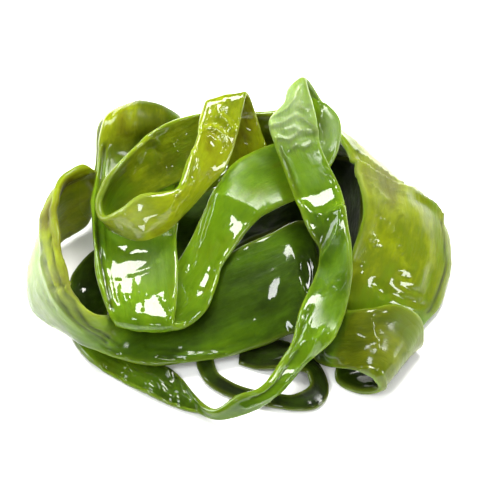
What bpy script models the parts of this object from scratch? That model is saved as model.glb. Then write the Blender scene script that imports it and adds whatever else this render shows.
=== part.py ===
"""A long wakame stem, cut at both ends and dropped in a loose, looping heap.

The stem is one flat, fleshy strap. Its route is a list of stations chosen by
hand: at each the left edge, the right edge and how far the strap bows between
them. Everything else, from the smooth sweep to the rounded rims, is worked out.
Lengths are in millimetres until the mesh is made, and in metres from there on.
"""

import bpy
import numpy as np

MM = 0.001
THICKNESS_WIDE = 2.8
THICKNESS_TIP = 2.0
TIP_LENGTH = 260.0
RING_SPACING = 3.2
RIM_INSET = 0.07
RIM_THINNING = 0.72
STEM_GREEN = (0.17, 0.30, 0.03, 1.0)
STEM_ROUGHNESS = 0.22

# Each station is (left edge x, y, z, right edge x, y, z, bow). The stretches
# follow each other along the stem, from its hidden cut end to its thin tip.
INNER_COIL = [
    (25, -19, 1.6, 46, -24, 22, 0),
    (27, -8, 1.4, 47, -8, 27, 0),
    (27, 5, 1.4, 48, 10, 29, 0),
    (24, 14, 1.4, 45, 28, 28, 0),
    (19, 17, 1.4, 30, 35, 24, 0),
    (12, 13, 1.4, 15, 37, 9, 0),
    (2, 8, 1.4, 2, 37.5, 1.4, 0),
    (-10, 0, 1.4, -11, 38, 1.4, 0),
    (-23, -9, 2.5, -27, 33, 1.4, 0),
    (-35, -8, 8.5, -38, 26, 7.5, 0),
    (-35, 4, 16, -33.5, 28, 15, 0),
    (-20, 13, 24, -12, 28, 22, 0),
]
UPPER_CURL = [
    (-7, 22, 33, 9, 24, 33, 0),
    (-10, 27, 43, 7, 29, 43, 0),
    (-14, 30, 53, 4, 33, 52, 0),
    (-16, 28, 61, 1, 33, 61.5, 0),
    (-18, 21, 60, -1, 26, 58.5, 0.5),
    (-19, 12, 58.5, -3, 17, 54, 1.5),
    (-22, 2, 57, -8, 5.5, 47, 0),
    (-24.5, -7, 55, -16, -1, 42, -1.5),
    (-27, -13, 55, -25, -10, 38, -1.5),
    (-32, -14, 55, -32, -20, 38, -3.5),
    (-41, -14.5, 54, -41, -25, 38, -3.5),
    (-50, -19.5, 50, -49, -20, 37, -2.5),
    (-56, -19, 45.5, -53.5, -15, 37, 0),
]
BACK_WALL = [
    (-57.5, -12, 47, -53.5, -9.5, 36, 0),
    (-55, -5, 50.5, -51, -6, 35.5, -1),
    (-50, 3, 53, -45, -2, 35.5, -2),
    (-44, 12, 53, -38, 2, 35.5, -2),
    (-32, 25.5, 52, -25, 10, 35.5, -2),
    (-18, 34, 49, -14, 20, 33, -2),
    (-6, 38, 45, -4, 29, 28, -1),
    (7, 40, 44, 8, 38, 22, -1),
    (20, 40, 43, 22, 43, 16, -2),
    (32, 35, 42, 38, 46, 8, -3),
]
RIGHT_SHOULDER = [
    (40, 24, 42, 54, 42, 3, -3.5),
    (43, 12, 41, 70, 32, 2, -4),
    (47, -4, 37, 80, 14, 2, -6.5),
    (45, -18, 34, 82, -4, 2, -5),
    (40, -37, 27, 77, -27, 2, -3),
    (38.5, -52, 8.5, 70, -38, 2, -2),
]
FRONT_ROLL = [
    (35.5, -65.5, 1.6, 66, -45.5, 1.8, 0),
    (44.5, -71.5, 1.8, 69.5, -49, 4, 0),
    (52, -74, 6, 70, -49, 9.5, 0),
    (50, -74, 11, 69, -46.5, 16, 3),
    (45, -71, 12, 61, -45, 23, 4),
    (39, -66, 9, 49, -50, 27, 3),
    (32, -61, 5, 37, -46, 23, 2),
    (27, -56.5, 5, 30.5, -25, 20.5, 2),
]
DARK_FACE = [
    (20.5, -48.3, 10, 24, -3, 25, 3),
    (8, -51.5, 7, 7, -13.5, 28.5, 2),
    (-7, -57.5, 6, -8, -21, 25, 2),
    (-22, -61, 6.5, -24, -28, 15, 1),
    (-38, -61.5, 6.5, -38, -32, 13, 1),
]
LEFT_LOOP = [
    (-51, -59.5, 8, -48, -41, 15, 2),
    (-61, -54.5, 9, -58.5, -50, 24, 3),
    (-72.5, -45, 8, -68, -45, 32, 3.5),
    (-82, -33, 4.5, -71, -33.5, 36, 4),
    (-86, -15, 2, -72.5, -21, 38, 3),
    (-82, -1, 1.3, -74.5, -6, 39, 2),
    (-74, 9, 1.3, -72, 8, 39.5, 1),
    (-65, 17, 1.3, -64, 16, 38.5, 0),
    (-62, 25, 3, -58, 23.5, 27, 0),
    (-61, 34, 8, -46, 34, 26, 0),
    (-60, 42, 18, -35, 43, 30, 0),
]
REAR_TOP = [
    (-59, 45, 31, -28, 44, 34, 0),
    (-56.5, 41.5, 39, -25.5, 40.5, 38.5, -6),
    (-57, 36, 41, -25.5, 35.5, 40, -6.5),
    (-58, 32, 37.5, -26, 32.5, 37.5, -4),
    (-58.5, 26, 33.5, -27, 27, 33.5, -1),
    (-59.6, 15, 31.5, -27, 14, 31, 1),
    (-61, 2, 31.5, -27, 2, 30, 2),
    (-59.5, -24.4, 33.5, -26.5, -21.4, 32.5, 3),
    (-57, -40.2, 29.5, -26.5, -40.2, 28.8, 2.5),
    (-54.5, -47.5, 26, -27, -48.5, 26, 0),
    (-51.5, -53, 22, -27, -54.5, 22.5, -2),
]
MIDDLE_STRAP = [
    (-49, -48, 18, -22, -52, 18.5, 0),
    (-41, -42, 19, -14.5, -47, 22, 0),
    (-34, -33, 22, -11, -38, 25.5, 0),
    (-25, -20, 25, -9, -31, 28, 0),
    (-18, -7, 30, -4, -22, 31, 1),
    (-12, 3.7, 37.5, 4, -10.9, 32.8, 1),
    (-4, 14.6, 40.5, 13, -4.5, 35.5, 1),
    (7, 20, 44, 22, 0.5, 36.5, 0),
    (17, 22, 47, 31, 8, 40, 0),
    (22, 25, 52, 37, 18, 45, 0),
    (24, 30.5, 55, 38, 27.5, 50, 0),
]
FRONT_STRAP = [
    (21, 36, 59.5, 32, 35.5, 52.5, -0.5),
    (17.5, 28.5, 62.5, 24.5, 36.5, 66.5, -2),
    (9.5, 19, 60.5, 28, 23.5, 59.5, -2),
    (11.5, 11, 56.2, 29.5, 13, 54, -1),
    (15.5, 2.5, 50, 33.5, 5.5, 48, -1),
    (20, -8.5, 45, 37.5, -2.5, 43, -1),
    (25, -22.2, 41, 40, -16.2, 44, 0),
    (30, -29, 35, 41.5, -30, 43, 0),
    (27, -38, 30, 41.5, -42, 38, 0),
    (22, -50.4, 29.5, 40.5, -46.9, 28.5, -1),
    (18.5, -63.5, 23.5, 34, -65.3, 24.2, -1),
    (14, -72, 19, 24, -67, 14, -1),
    (7, -81, 16.5, 16, -75, 10, -1),
    (-3.5, -84, 12.5, 4.5, -83.5, 5, 0),
]
LOW_STRAP = [
    (-12, -85.5, 7, -9.5, -84.8, 2, 0),
    (-19, -74.5, 3, -20, -82, 1.3, 0),
    (-27, -62, 1.3, -31, -77, 1.3, 0),
    (-42, -53, 1.3, -49, -65, 1.3, 0),
    (-53, -44, 1.3, -62, -54, 1.3, 0),
    (-55, -34, 1.3, -69, -40, 1.3, 0),
    (-53, -24, 1.3, -70, -26, 1.3, 0),
    (-52, -15, 1.3, -68.5, -8, 1.3, 0),
    (-49, -10, 1.3, -57, 6, 1.3, 0),
]
THIN_TIP = [
    (-45, -11, 1.3, -44, 0, 1.3, 0),
    (-39, -17, 1.2, -32, -11, 1.2, 0),
    (-31, -27, 1.2, -23, -24, 1.2, 0),
    (-26, -38.5, 1.2, -17.5, -35.5, 1.2, 0),
    (-20, -50, 1.2, -13, -49, 1.2, 0),
    (-18.5, -59, 1.1, -11.5, -57.5, 1.1, 0),
    (-15.5, -66, 1.1, -10, -62.5, 2.4, 0),
    (-9, -72, 1.1, -5.5, -67, 2.8, 0),
    (1, -76.5, 1.1, 2, -71, 3, 0),
    (12, -79.5, 1.1, 12.5, -73.5, 3.4, 0),
    (20.5, -81, 1.1, 18, -75, 4, 0),
    (27.5, -80, 1.1, 22, -74, 4.7, 0),
    (32.5, -73.5, 1.2, 25.5, -70.5, 5.0, 0),
    (32.5, -66, 1.8, 25, -66.5, 5.5, 0),
    (29, -57, 2, 24, -64, 5.3, 0),
    (22.5, -49.5, 2.2, 19.5, -62.5, 4.5, 0),
    (13, -45, 2, 11, -61, 3, 0),
    (5.5, -45, 1.2, 4.5, -59.5, 1.2, 0),
    (-2, -48.5, 1.1, -2.5, -56.5, 1.1, 0),
]
ROUTE = (
    INNER_COIL + UPPER_CURL + BACK_WALL + RIGHT_SHOULDER + FRONT_ROLL + DARK_FACE
    + LEFT_LOOP + REAR_TOP + MIDDLE_STRAP + FRONT_STRAP + LOW_STRAP + THIN_TIP
)

# The strap's section: how far across it each point is, and which face it is on.
SECTION = [
    (-1.0, 0), (-1.0 + RIM_INSET, 1), (-0.5, 1), (0.0, 1), (0.5, 1), (1.0 - RIM_INSET, 1),
    (1.0, 0), (1.0 - RIM_INSET, -1), (0.5, -1), (0.0, -1), (-0.5, -1), (-1.0 + RIM_INSET, -1),
]


def clear_scene():
    """Remove the objects that a new scene starts with."""
    for item in list(bpy.data.objects):
        bpy.data.objects.remove(item, do_unlink=True)


def stem_material():
    """Make the wet green skin."""
    material = bpy.data.materials.new("wet_wakame_skin")
    material.use_nodes = True
    skin = material.node_tree.nodes["Principled BSDF"]
    skin.inputs["Base Color"].default_value = STEM_GREEN
    skin.inputs["Roughness"].default_value = STEM_ROUGHNESS
    skin.inputs["Metallic"].default_value = 0.0
    return material


def spline_tangents(knots, values):
    """Slopes of a smooth curve through the values, one for each knot."""
    steps = np.diff(knots)[:, None]
    slopes = np.diff(values, axis=0) / steps
    inner = (slopes[:-1] * steps[1:] + slopes[1:] * steps[:-1]) / (steps[:-1] + steps[1:])
    return np.vstack([slopes[:1], inner, slopes[-1:]])


def sample_spline(knots, values, where):
    """Read the smooth curve at each place in where."""
    tangents = spline_tangents(knots, values)
    index = np.clip(np.searchsorted(knots, where, side="right") - 1, 0, len(knots) - 2)
    width = (knots[index + 1] - knots[index])[:, None]
    u = ((where - knots[index])[:, None]) / width
    start = (2 * u**3 - 3 * u**2 + 1) * values[index]
    leave = (u**3 - 2 * u**2 + u) * width * tangents[index]
    end = (3 * u**2 - 2 * u**3) * values[index + 1]
    arrive = (u**3 - u**2) * width * tangents[index + 1]
    return start + leave + end + arrive


def centre_knots(stations):
    """Distance along the stem of each station, with room for folds at the edges."""
    left = np.diff(stations[:, 0:3], axis=0)
    right = np.diff(stations[:, 3:6], axis=0)
    steps = (np.linalg.norm(left, axis=1) + np.linalg.norm(right, axis=1)) / 2
    return np.concatenate([[0.0], np.cumsum(steps)])


def sweep_rings(stations, spacing):
    """Return the rings' left edges, right edges, bows and lengths along the stem."""
    knots = centre_knots(stations)
    count = int(round(knots[-1] / spacing)) + 1
    where = np.linspace(0.0, knots[-1], count)
    rings = sample_spline(knots, stations, where)
    return rings[:, 0:3], rings[:, 3:6], rings[:, 6], where


def unit(vectors):
    """Scale each row to length one."""
    return vectors / np.linalg.norm(vectors, axis=1)[:, None]


def strap_vertices(stations, spacing):
    """Place every ring's section points, in millimetres, ring by ring."""
    left, right, bow, where = sweep_rings(stations, spacing)
    centre = (left + right) / 2
    half = (right - left) / 2
    across = unit(half)
    along = unit(np.gradient(centre, axis=0))
    normal = unit(np.cross(across, along))
    tip_share = np.clip((where[-1] - where) / TIP_LENGTH, 0.0, 1.0)
    thickness = THICKNESS_TIP + (THICKNESS_WIDE - THICKNESS_TIP) * tip_share
    rings = []
    for share, side in SECTION:
        rim = abs(share) == 1.0 - RIM_INSET
        reach = side * thickness / 2 * (RIM_THINNING if rim else 1.0)
        lift = bow * (1.0 - share * share) + reach
        rings.append(centre + half * share + normal * lift[:, None])
    points = np.stack(rings, axis=1)
    points[:, :, 2] = np.maximum(points[:, :, 2], 0.0)
    return points


def centred(points):
    """Shift the heap so that its box stands on the origin."""
    low = points.min(axis=(0, 1))
    high = points.max(axis=(0, 1))
    middle = (low + high) / 2
    return points - np.array([middle[0], middle[1], low[2]])


def strap_faces(ring_count, side_count):
    """Skin the rings in triangles, alike on both faces, and close both ends."""
    faces = []
    for ring in range(ring_count - 1):
        near = ring * side_count
        far = near + side_count
        for side in range(side_count):
            following = (side + 1) % side_count
            upper = side < side_count // 2
            corners = (near + side, near + following, far + following, far + side)
            if upper:
                faces.append((corners[0], corners[1], corners[2]))
                faces.append((corners[0], corners[2], corners[3]))
            else:
                faces.append((corners[0], corners[1], corners[3]))
                faces.append((corners[1], corners[2], corners[3]))
    last = (ring_count - 1) * side_count
    faces += end_cap(0, side_count, reverse=True)
    faces += end_cap(last, side_count, reverse=False)
    return faces


def end_cap(start, side_count, reverse):
    """Close one cut end with strips between its two faces."""
    half = side_count // 2
    caps = []
    for step in range(half):
        top_a = start + step
        top_b = start + step + 1
        low_a = start + (side_count - step) % side_count
        low_b = start + side_count - step - 1
        if step == 0:
            caps.append((top_a, top_b, low_b))
        elif step == half - 1:
            caps.append((top_a, top_b, low_a))
        else:
            caps.append((top_a, top_b, low_b))
            caps.append((top_a, low_b, low_a))
    if reverse:
        caps = [tuple(reversed(cap)) for cap in caps]
    return caps


def build_stem():
    """Make the whole stem as one closed solid."""
    points = centred(strap_vertices(np.array(ROUTE, dtype=float), RING_SPACING)) * MM
    ring_count, side_count = points.shape[:2]
    mesh = bpy.data.meshes.new("wakame_stem")
    mesh.from_pydata(points.reshape(-1, 3).tolist(), [], strap_faces(ring_count, side_count))
    mesh.validate()
    mesh.shade_smooth()
    mesh.materials.append(stem_material())
    stem = bpy.data.objects.new("wakame_stem", mesh)
    bpy.context.scene.collection.objects.link(stem)
    return stem


def main():
    """Build the part."""
    clear_scene()
    build_stem()


main()
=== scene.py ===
"""Visual model of one cooked wakame stem, folded and looped into a wet, glossy heap.

The stem is a single flat, fleshy strap, cut at both ends. Its route is the CAD
part's own, station by station. Here it is swept again in fine rings, and gets
what the plain solid leaves out: round wavy rims, long soft ribs, puckers,
creases at the tight folds, and a wet, see-through, mottled skin.
"""

import logging
import math
from dataclasses import dataclass
from enum import Enum
from typing import Any, Sequence

import bpy
import numpy as np
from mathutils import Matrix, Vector


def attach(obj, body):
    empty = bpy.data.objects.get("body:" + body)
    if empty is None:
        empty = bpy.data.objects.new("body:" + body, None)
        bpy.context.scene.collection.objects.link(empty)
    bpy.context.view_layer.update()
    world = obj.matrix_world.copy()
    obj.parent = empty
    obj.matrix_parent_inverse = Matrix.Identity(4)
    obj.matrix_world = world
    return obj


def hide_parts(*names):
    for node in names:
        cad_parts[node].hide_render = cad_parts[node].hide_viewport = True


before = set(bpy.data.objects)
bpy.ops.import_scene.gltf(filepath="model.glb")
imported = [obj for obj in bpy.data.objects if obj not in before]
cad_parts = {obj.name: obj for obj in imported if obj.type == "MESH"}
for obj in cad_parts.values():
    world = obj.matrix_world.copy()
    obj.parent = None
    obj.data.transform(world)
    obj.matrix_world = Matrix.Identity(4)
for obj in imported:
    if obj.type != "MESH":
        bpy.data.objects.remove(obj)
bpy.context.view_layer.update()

LOG = logging.getLogger("wakame_stem")
MM = 0.001

Station = tuple[float, float, float, float, float, float, float]


def linear(code: str) -> tuple[float, float, float, float]:
    """Turn an sRGB hex colour into linear values.

    Args:
        code: The colour as #RRGGBB.

    Returns:
        Red, green and blue in linear light, and an alpha of 1.
    """
    parts = [int(code[place:place + 2], 16) / 255 for place in (1, 3, 5)]
    bent = [part / 12.92 if part <= 0.04045 else ((part + 0.055) / 1.055) ** 2.4
            for part in parts]
    return (bent[0], bent[1], bent[2], 1.0)


def add_node(tree: bpy.types.NodeTree, kind: str, settings: dict[str, Any] | None = None,
             inputs: dict[str | int, Any] | None = None) -> bpy.types.Node:
    """Add one node, with its settings, and its inputs as values or as links.

    Args:
        tree: The node tree that the node goes into.
        kind: The node's type name.
        settings: Properties of the node itself.
        inputs: For each input name or number, a value, or the socket that feeds it.

    Returns:
        The new node.
    """
    made = tree.nodes.new(kind)
    for name, value in (settings or {}).items():
        setattr(made, name, value)
    for key, value in (inputs or {}).items():
        if isinstance(value, bpy.types.NodeSocket):
            tree.links.new(value, made.inputs[key])
        else:
            made.inputs[key].default_value = value
    return made


def set_ramp(ramp: bpy.types.ColorRamp, stops: Sequence[tuple[float, str]]) -> None:
    """Give a colour ramp its stops.

    Args:
        ramp: The ramp of a Color Ramp node.
        stops: Position and sRGB hex colour of each stop, in rising order.
    """
    while len(ramp.elements) < len(stops):
        ramp.elements.new(0.5)
    for element, (position, code) in zip(ramp.elements, stops):
        element.position = position
        element.color = linear(code)


class Tone(Enum):
    """How ripe a stretch of the stem's skin looks, from dark green through yellow to brown. The
    darkest tone is painted shade for the hidden inner coil and for faces turned into the heap's
    shade."""

    # Painted shade: near black green for the hidden inner coil and for faces turned into the heap's
    # shade.
    DEEP_SHADE = 0.0
    DARK = 0.15
    LEAF = 0.35
    FRESH = 0.5
    OLIVE = 0.7
    AMBER = 0.85
    RUSSET = 1.0


@dataclass(frozen=True)
class Crease:
    """A ridge or a groove where the strap was folded, pinched or dragged.

    Attributes:
        line: Its points, each as stations along the stretch and share across it, -1 to 1.
        height: How far it stands up along the sweep's normal, in millimetres. Less than 0 sinks.
        reach: How far its flanks go to each side, in millimetres.
        dark: How much painted shade darkens the colour along it, from 0 to 1.
    """

    line: tuple[tuple[float, float], ...]
    height: float
    reach: float
    dark: float = 0.0


@dataclass(frozen=True)
class Patch:
    """A soft-edged patch where the skin's colour or its water film differs.

    Attributes:
        place: Stations along the stretch and share across it, -1 to 1.
        size: Half its length along the strap and half its width across, in millimetres.
        ripe: How far it shifts the skin's ripeness.
        dry: How far the film has drained off it, from 0 to 1.
        dark: How much painted shade darkens the colour there, from 0 to 1.
        pale: How much painted glare, a pale painted reflection, is mixed into the colour there,
            from 0 to 1.
    """

    place: tuple[float, float]
    size: tuple[float, float]
    ripe: float = 0.0
    dry: float = 0.0
    dark: float = 0.0
    pale: float = 0.0


@dataclass(frozen=True)
class Stretch:
    """One stretch of the stem from a bend to the next.

    Attributes:
        name: What the stretch does in the heap.
        stations: Left edge x, y, z, right edge x, y, z and bow, in millimetres.
        front: Tones along the face that the sweep's normal points out of.
        back: Tones along the other face.
        crumple: How much the skin creases across the strap, from 0 to 1.
        creases: The ridges and grooves that stand out.
        patches: The patches that stand out.
    """

    name: str
    stations: tuple[Station, ...]
    front: tuple[Tone, ...]
    back: tuple[Tone, ...]
    crumple: float
    creases: tuple[Crease, ...] = ()
    patches: tuple[Patch, ...] = ()


# The route runs from the hidden cut end to the thin tip. Each station is the left
# edge's x, y and z, the right edge's, and how far the strap bows between them.
# Darkening by the patches and creases is painted shade, and their pale value is painted glare.
STRETCHES = (
    # The inner coil takes the darkest tone and dark patches: painted shade for the heap's hidden
    # inside.
    Stretch("inner coil", (
        (25, -19, 1.6, 46, -24, 22, 0),
        (27, -8, 1.4, 47, -8, 27, 0),
        (27, 5, 1.4, 48, 10, 29, 0),
        (24, 14, 1.4, 45, 28, 28, 0),
        (19, 17, 1.4, 30, 35, 24, 0),
        (12, 13, 1.4, 15, 37, 9, 0),
        (2, 8, 1.4, 2, 37.5, 1.4, 0),
        (-10, 0, 1.4, -11, 38, 1.4, 0),
        (-23, -9, 2.5, -27, 33, 1.4, 0),
        (-35, -8, 8.5, -38, 26, 7.5, 0),
        (-35, 4, 16, -33.5, 28, 15, 0),
        (-20, 13, 24, -12, 28, 22, 0),
    ), front=(Tone.DEEP_SHADE,), back=(Tone.DEEP_SHADE,), crumple=0.2, patches=(
        Patch((1.0, 0.0), (60, 40), dry=1.0, dark=0.5),
        Patch((4.0, 0.0), (60, 40), dry=1.0, dark=0.5),
    )),
    Stretch("upper curl", (
        (-7, 22, 33, 9, 24, 33, 0),
        (-10, 27, 43, 7, 29, 43, 0),
        (-14, 30, 53, 4, 33, 52, 0),
        (-16, 28, 61, 1, 33, 61.5, 0),
        (-18, 21, 60, -1, 26, 58.5, 0.5),
        (-19, 12, 58.5, -3, 17, 54, 1.5),
        (-22, 2, 57, -8, 5.5, 47, 0),
        (-24.5, -7, 55, -16, -1, 42, -1.5),
        (-27, -13, 55, -25, -10, 38, -1.5),
        (-32, -14, 55, -32, -20, 38, -3.5),
        (-41, -14.5, 54, -41, -25, 38, -3.5),
        (-50, -19.5, 50, -49, -20, 37, -2.5),
        (-56, -19, 45.5, -53.5, -15, 37, 0),
    ), front=(Tone.RUSSET, Tone.OLIVE, Tone.LEAF, Tone.LEAF),
       back=(Tone.OLIVE, Tone.AMBER, Tone.AMBER, Tone.AMBER),
       crumple=0.3, creases=(
        Crease(((4.07, 0.0), (4.79, 0.75)), -0.9, 2.4),
        Crease(((4.18, -0.42), (4.69, 0.27)), 0.8, 2.2),
        Crease(((4.9, -0.34), (5.24, 0.26)), -0.5, 1.8),
        Crease(((4.59, -0.96), (4.69, -0.5), (5.0, 0.09), (5.4, 0.5)), 0.6, 1.6),
        Crease(((5.88, -0.58), (6.81, -0.44)), -0.5, 2.0),
        Crease(((10.66, -0.68), (9.87, 0.52)), -0.7, 3.0),
        Crease(((10.95, -0.54), (10.47, 0.68)), 0.5, 1.8),
        Crease(((9.36, -0.18), (8.48, -0.8)), -0.5, 1.8),
        Crease(((10.66, -0.9), (10.08, -0.93), (9.25, -0.97)), -0.5, 1.6),
        Crease(((10.85, -0.89), (10.56, -0.18)), 0.5, 1.0),
        Crease(((10.56, -0.63), (10.27, 0.18)), 0.5, 1.0),
        Crease(((10.27, -0.27), (9.98, 0.35)), 0.5, 1.0),
        Crease(((4.79, -0.9), (4.59, -0.42), (4.79, 0.09), (5.32, 0.57)), -0.8, 1.4, dark=0.3),
        Crease(((4.38, -0.74), (4.28, -0.26), (4.59, 0.35)), 0.8, 1.3),
        Crease(((3.7, -0.26), (4.28, 0.09), (4.79, 0.64)), -0.7, 1.3, dark=0.3),
        Crease(((3.83, 0.0), (4.28, 0.51), (4.59, 0.8)), 0.7, 1.2),
        Crease(((5.56, -0.97), (6.24, -0.66), (6.81, -0.71)), 0.6, 1.2),
    ), patches=(
        Patch((10.37, -0.18), (8, 8), pale=0.12),
    )),
    Stretch("back wall", (
        (-57.5, -12, 47, -53.5, -9.5, 36, 0),
        (-55, -5, 50.5, -51, -6, 35.5, -1),
        (-50, 3, 53, -45, -2, 35.5, -2),
        (-44, 12, 53, -38, 2, 35.5, -2),
        (-32, 25.5, 52, -25, 10, 35.5, -2),
        (-18, 34, 49, -14, 20, 33, -2),
        (-6, 38, 45, -4, 29, 28, -1),
        (7, 40, 44, 8, 38, 22, -1),
        (20, 40, 43, 22, 43, 16, -2),
        (32, 35, 42, 38, 46, 8, -3),
    ), front=(Tone.OLIVE, Tone.OLIVE, Tone.OLIVE, Tone.OLIVE),
       back=(Tone.LEAF,),
       crumple=0.5, creases=(
        Crease(((3.46, -0.96), (3.64, -0.38), (3.7, 0.36)), -1.3, 5.5),
        Crease(((3.4, -0.85), (3.64, -0.76), (3.82, -0.37)), 0.6, 2.0),
        Crease(((4.0, -0.53), (4.13, -0.1)), 0.5, 1.5),
        Crease(((3.22, -0.87), (3.46, -0.9), (3.64, -0.62)), 0.7, 1.3),
        Crease(((3.34, -0.61), (3.58, -0.46), (3.76, -0.1)), -0.6, 1.3, dark=0.3),
        Crease(((3.88, -0.46), (4.07, -0.28)), 0.6, 1.2),
    ), patches=(
        Patch((3.76, 0.28), (10, 5), dark=0.5),
        Patch((0.5, 0.0), (14, 16), dry=0.7, dark=0.4),
        Patch((9.3, 0.4), (16, 18), dry=1.0, dark=0.5),
    )),
    Stretch("right shoulder", (
        (40, 24, 42, 54, 42, 3, -3.5),
        (43, 12, 41, 70, 32, 2, -4),
        (47, -4, 37, 80, 14, 2, -6.5),
        (45, -18, 34, 82, -4, 2, -5),
        (40, -37, 27, 77, -27, 2, -3),
        (38.5, -52, 8.5, 70, -38, 2, -2),
    ), front=(Tone.DARK,), back=(Tone.OLIVE, Tone.OLIVE, Tone.OLIVE), crumple=0.3, creases=(
        Crease(((0.9, -0.97), (1.08, -0.79), (1.35, -0.57), (1.56, -0.3), (1.56, 0.0), (1.72, 0.4),
                (1.88, 0.73)), -2.4, 4.5),
        Crease(((0.78, -0.8), (1.13, -0.57), (1.4, -0.3)), 1.6, 3.5, dark=0.3),
        Crease(((1.56, -0.86), (1.99, -0.73), (2.41, -0.79)), -1.1, 1.6, dark=0.6),
        Crease(((1.67, -0.8), (2.04, -0.65), (2.35, -0.39)), -1.0, 1.6, dark=0.55),
        Crease(((2.11, 0.65), (2.72, 0.71), (3.24, 0.81), (3.61, 0.82), (4.28, 0.77)),
                0.4, 1.5, dark=0.95),
        Crease(((2.54, -0.65), (2.97, -0.48)), 1.0, 1.9),
        Crease(((3.15, -0.31), (3.29, -0.21), (3.43, 0.0)), 1.2, 1.9),
        Crease(((3.74, -0.98), (4.12, -0.94)), 2.0, 4.0),
        Crease(((4.01, -0.2), (4.07, 0.1), (4.07, 0.39)), 1.0, 3.5),
        Crease(((3.92, -0.49), (4.07, -0.3)), 1.5, 3.0),
        Crease(((3.43, 0.5), (3.83, 0.58), (4.12, 0.57)), 1.0, 3.2),
        Crease(((3.06, -0.86), (3.24, -0.75)), 1.2, 2.2),
        Crease(((3.65, -0.11), (3.7, 0.0)), 1.2, 2.2),
        Crease(((0.39, -0.86), (0.78, -0.58), (1.08, -0.3), (1.35, -0.1)), -1.0, 1.6, dark=0.6),
        Crease(((1.29, -0.95), (1.45, -0.73), (1.67, -0.49), (1.77, -0.2)), -0.9, 1.5, dark=0.6),
        Crease(((1.83, -0.86), (1.93, -0.65), (2.04, -0.4)), -0.6, 1.4, dark=0.25),
        Crease(((3.83, -0.1), (3.88, 0.2), (3.88, 0.4)), 0.9, 2.6),
    ), patches=(
        Patch((1.29, -0.49), (16, 12), ripe=0.15, dry=0.6, pale=0.18),
        Patch((2.29, -0.3), (18, 16), dry=0.4),
        Patch((2.35, -0.97), (34, 5), dry=1.0, dark=0.3),
        Patch((2.72, 0.64), (40, 8), dry=1.0),
        Patch((0.97, -0.48), (34, 6), ripe=0.12, dry=0.3, dark=0.1),
        Patch((1.72, -0.8), (24, 11), ripe=0.1, dry=0.4, dark=0.3),
    )),
    Stretch("front roll", (
        (35.5, -65.5, 1.6, 66, -45.5, 1.8, 0),
        (44.5, -71.5, 1.8, 69.5, -49, 4, 0),
        (52, -74, 6, 70, -49, 9.5, 0),
        (50, -74, 11, 69, -46.5, 16, 3),
        (45, -71, 12, 61, -45, 23, 4),
        (39, -66, 9, 49, -50, 27, 3),
        (32, -61, 5, 37, -46, 23, 2),
        (27, -56.5, 5, 30.5, -25, 20.5, 2),
    ), front=(Tone.OLIVE,) * 6 + (Tone.DARK, Tone.DARK),
       back=(Tone.DEEP_SHADE, Tone.DEEP_SHADE, Tone.DARK),
       crumple=0.3, creases=(
        Crease(((5.08, 0.19), (4.63, 0.0), (4.08, -0.1)), 0.5, 1.6),
        Crease(((4.72, 0.54), (4.45, 0.1), (3.87, -0.37)), 0.5, 1.6),
        Crease(((4.17, -0.93), (1.23, -0.78)), 0.8, 1.4),
        Crease(((3.87, -0.86), (3.15, -0.98)), 0.7, 1.3),
    ), patches=(
        Patch((3.03, 0.39), (9, 16), ripe=-0.05, dry=0.8, dark=0.2, pale=0.05),
        Patch((5.35, 0.44), (14, 14), dry=0.2, dark=0.6),
        Patch((4.45, -0.09), (16, 20), dry=0.3, dark=0.6),
        Patch((3.87, -0.28), (8, 9), ripe=0.15),
        Patch((0.5, 0.0), (14, 30), dry=0.3, dark=0.8),
    )),
    Stretch("dark face", (
        (20.5, -48.3, 10, 24, -3, 25, 3),
        (8, -51.5, 7, 7, -13.5, 28.5, 2),
        (-7, -57.5, 6, -8, -21, 25, 2),
        (-22, -61, 6.5, -24, -28, 15, 1),
        (-38, -61.5, 6.5, -38, -32, 13, 1),
    ), front=(Tone.DARK, Tone.DARK), back=(Tone.DARK,), crumple=0.3, creases=(
        Crease(((0.4, 0.59), (0.22, 0.11), (-0.08, -0.4)), 0.6, 4.5),
        Crease(((4.08, -0.1), (2.97, -0.37), (1.95, -0.55), (1.05, -0.57)), 0.5, 2.2),
        Crease(((0.63, -0.73), (0.34, -0.96)), -0.5, 2.0),
        Crease(((4.08, -0.56), (3.22, -0.69), (2.18, -0.82), (1.29, -0.79)), -0.7, 1.6, dark=0.4),
        Crease(((3.74, -0.79), (2.97, -0.93), (2.07, -0.91)), -0.6, 1.4, dark=0.3),
        Crease(((1.65, 0.91), (1.47, 0.9)), 0.5, 1.2),
    ), patches=(
        Patch((1.95, -0.83), (20, 8), ripe=0.15),
        Patch((2.74, -0.68), (26, 10), ripe=0.12, dry=0.3),
        Patch((1.05, 0.47), (18, 14), ripe=0.12, dry=0.2),
        Patch((2.01, 0.29), (30, 26), dark=0.15),
    )),
    Stretch("left loop", (
        (-51, -59.5, 8, -48, -41, 15, 2),
        (-61, -54.5, 9, -58.5, -50, 24, 3),
        (-72.5, -45, 8, -68, -45, 32, 3.5),
        (-82, -33, 4.5, -71, -33.5, 36, 4),
        (-86, -15, 2, -72.5, -21, 38, 3),
        (-82, -1, 1.3, -74.5, -6, 39, 2),
        (-74, 9, 1.3, -72, 8, 39.5, 1),
        (-65, 17, 1.3, -64, 16, 38.5, 0),
        (-62, 25, 3, -58, 23.5, 27, 0),
        (-61, 34, 8, -46, 34, 26, 0),
        (-60, 42, 18, -35, 43, 30, 0),
    ), front=(Tone.DARK, Tone.LEAF, Tone.OLIVE, Tone.LEAF, Tone.OLIVE),
       back=(Tone.OLIVE, Tone.AMBER, Tone.AMBER),
       crumple=0.4, creases=(
        Crease(((4.26, 0.49), (3.29, 0.63), (2.54, 0.64), (1.76, 0.64), (1.2, 0.42),
                (0.55, -0.35)), -1.0, 1.2, dark=0.9),
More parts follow.
